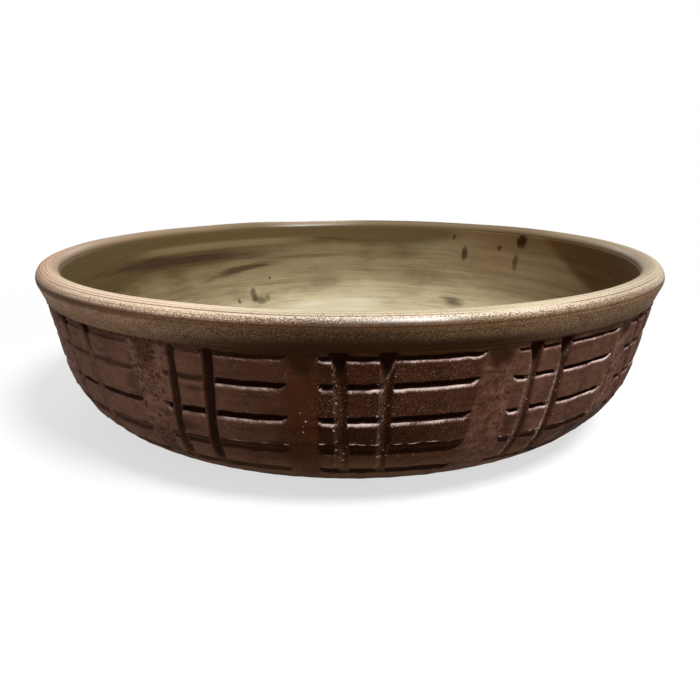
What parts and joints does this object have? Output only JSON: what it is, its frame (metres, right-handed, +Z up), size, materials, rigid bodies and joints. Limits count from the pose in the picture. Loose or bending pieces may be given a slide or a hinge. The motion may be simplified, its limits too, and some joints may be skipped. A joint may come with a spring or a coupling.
{
  "type": "ikebana suiban",
  "caption": "Shallow round stoneware basin with a half-round lip, a carved lattice round its leaning wall and an ash glaze inside, which holds water and cut flowers.",
  "frame": {"origin": "on the table under the middle of the basin, in the plane that the foot ring stands on", "axes": "+Z up along the basin's axis, the pictured front faces -Y, +X to its right"},
  "size_m": [0.3, 0.3, 0.08],
  "materials": {
    "iron_stoneware": "satin iron wash",
    "bare_stoneware": "dry fired clay",
    "liner_glaze": "satin olive ash glaze",
    "ash_glaze": "speckled ash glaze"
  },
  "bodies": {
    "root": {"stoneware_body": "iron_stoneware", "foot_ring": "bare_stoneware", "inside_glaze": "liner_glaze", "rim_glaze": "ash_glaze"}
  },
  "joints": []
}
